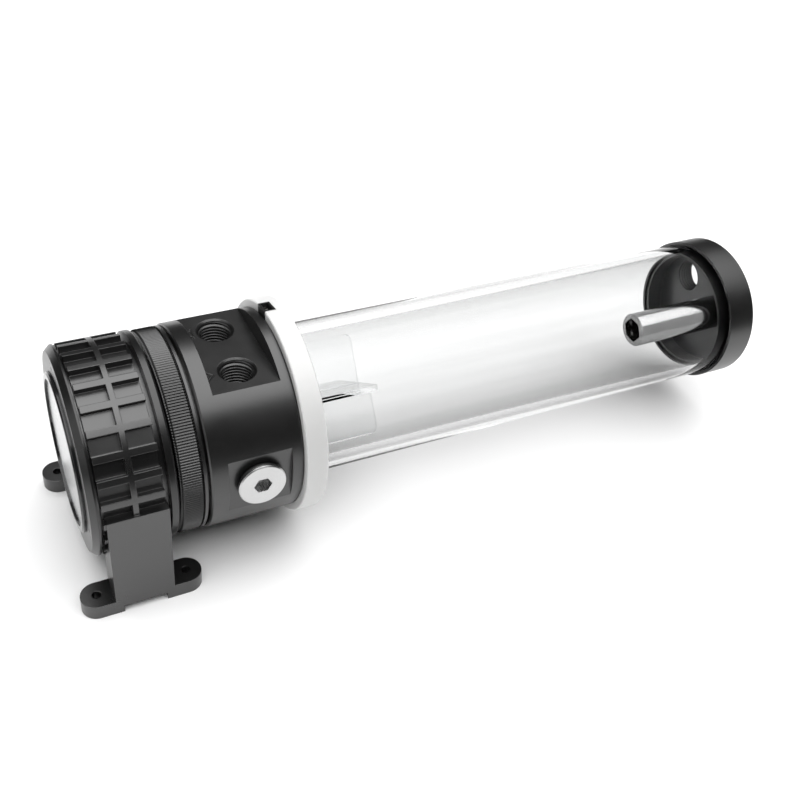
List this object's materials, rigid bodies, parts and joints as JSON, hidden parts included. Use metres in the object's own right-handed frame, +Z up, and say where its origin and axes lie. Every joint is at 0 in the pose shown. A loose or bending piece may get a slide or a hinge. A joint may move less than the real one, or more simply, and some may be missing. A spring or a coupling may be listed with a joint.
{
  "type": "coolant pump reservoir",
  "caption": "Liquid coolant pump on a footed holder, with a light ring, a clear tube reservoir lying behind it and a ported end cap.",
  "frame": {"origin": "centre of the four foot holes, on the plane that the feet stand on", "axes": "+X along the tube from the motor to the end cap, +Z up out of the two ports, +Y away from the side plug"},
  "size_m": [0.3031, 0.0846, 0.0898],
  "materials": {
    "black_moulding": "satin black moulding",
    "black_flange": "satin black",
    "dark_steel": "blackened",
    "seal_rubber": "matt black",
    "motor_plastic": "satin black",
    "disc_face": "smooth and glossy",
    "circuit_board": "solder mask",
    "lamination": "stacked sheet",
    "copper_wire": "enamelled winding",
    "bearing_steel": "polished",
    "magnet": "coated",
    "impeller_plastic": "moulded",
    "ring_metal": "black, finely knurled",
    "body_plastic": "turned and milled, satin black",
    "plug_metal": "satin silver",
    "diffuser": "frosted off-white",
    "light_chip": "resin",
    "connector_plastic": "moulded black",
    "pin_metal": "tinned",
    "clear_tube": "clear and polished",
    "clear_plate": "clear sheet with cut edges",
    "cap_metal": "satin black",
    "polished_tube": "polished"
  },
  "bodies": {
    "base": {"holder": "black_moulding", "front_flange": "black_flange", "rear_flange": "black_flange", "flange_screws": "dark_steel", "cable_grommet": "seal_rubber", "motor_can": "motor_plastic", "end_disc": "disc_face", "control_board": "circuit_board", "stator_core": "lamination", "stator_coils": "copper_wire", "separator_cup": "motor_plastic", "bearing_post": "bearing_steel", "bearing_ball": "bearing_steel", "pump_o_ring": "seal_rubber", "pump_body": "body_plastic", "light_ring": "diffuser", "led_board": "circuit_board", "led_chips": "light_chip", "led_connector": "connector_plastic", "connector_pins": "pin_metal", "tube_o_ring": "seal_rubber", "reservoir_tube": "clear_tube", "swirl_plate_long": "clear_plate", "swirl_plate_short": "clear_plate"},
    "rotor": {"rotor_magnet": "magnet", "impeller": "impeller_plastic"},
    "ring": {"retaining_ring": "ring_metal"},
    "plug_seal": {"plug_o_ring": "seal_rubber"},
    "plug": {"side_plug": "plug_metal"},
    "cap": {"end_cap": "cap_metal", "drop_tube": "polished_tube", "cap_o_ring": "seal_rubber"}
  },
  "joints": [
    {"name": "rotor_spin", "type": "hinge", "parent": "base", "child": "rotor", "pos_m": [0.02028, 0, 0.0475], "axis": [1, 0, 0], "continuous": true},
    {"name": "ring_turn", "type": "hinge", "parent": "base", "child": "ring", "pos_m": [0.02015, 0, 0.0475], "axis": [-1, 0, 0], "range_deg": [0, 150]},
    {"name": "plug_out", "type": "slide", "parent": "base", "child": "plug_seal", "axis": [0, -1, 0], "range_m": [0, 0.009]},
    {"name": "plug_turn", "type": "hinge", "parent": "plug_seal", "child": "plug", "pos_m": [0.0451, -0.0376, 0.0475], "axis": [0, -1, 0], "range_deg": [0, 2424]},
    {"name": "cap_off", "type": "slide", "parent": "base", "child": "cap", "axis": [1, 0, 0], "range_m": [0, 0.012]}
  ],
  "couplings": [
    {"joint": "plug_turn", "follows": "plug_out", "rad_per_m": 4699.5}
  ]
}
